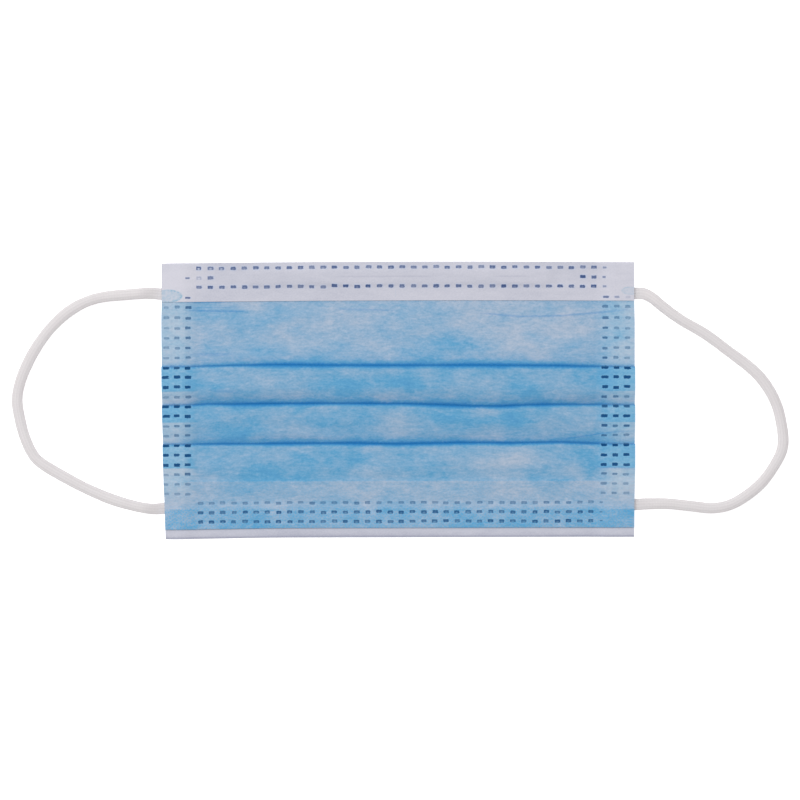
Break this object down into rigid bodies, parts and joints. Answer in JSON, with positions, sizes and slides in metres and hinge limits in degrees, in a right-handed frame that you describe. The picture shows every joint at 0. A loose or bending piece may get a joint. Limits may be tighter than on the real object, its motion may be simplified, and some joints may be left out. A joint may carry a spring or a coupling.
{
  "type": "three-ply face mask",
  "caption": "Flat-folded non-woven face mask with horizontal pleats, a white band over a nose wire, welded edges and an elastic ear loop at each side.",
  "frame": {"origin": "below the middle of the mask, on the surface it lies on", "axes": "+X along the mask's width, +Y towards the nose edge, +Z away from the face"},
  "size_m": [0.2875, 0.102, 0.005],
  "materials": {
    "blue_spunbond": "soft, point-bonded non-woven, matt",
    "white_meltblown": "fine fibre web, matt",
    "white_spunbond": "soft, point-bonded non-woven, matt",
    "coated_wire": "plastic-coated flat wire, satin",
    "white_elastic": "round knitted elastic, matt"
  },
  "bodies": {
    "root": {"outer_ply": "blue_spunbond", "filter_ply": "white_meltblown", "inner_ply": "white_spunbond", "nose_wire": "coated_wire", "ear_loop_left": "white_elastic", "ear_loop_right": "white_elastic"}
  },
  "joints": []
}
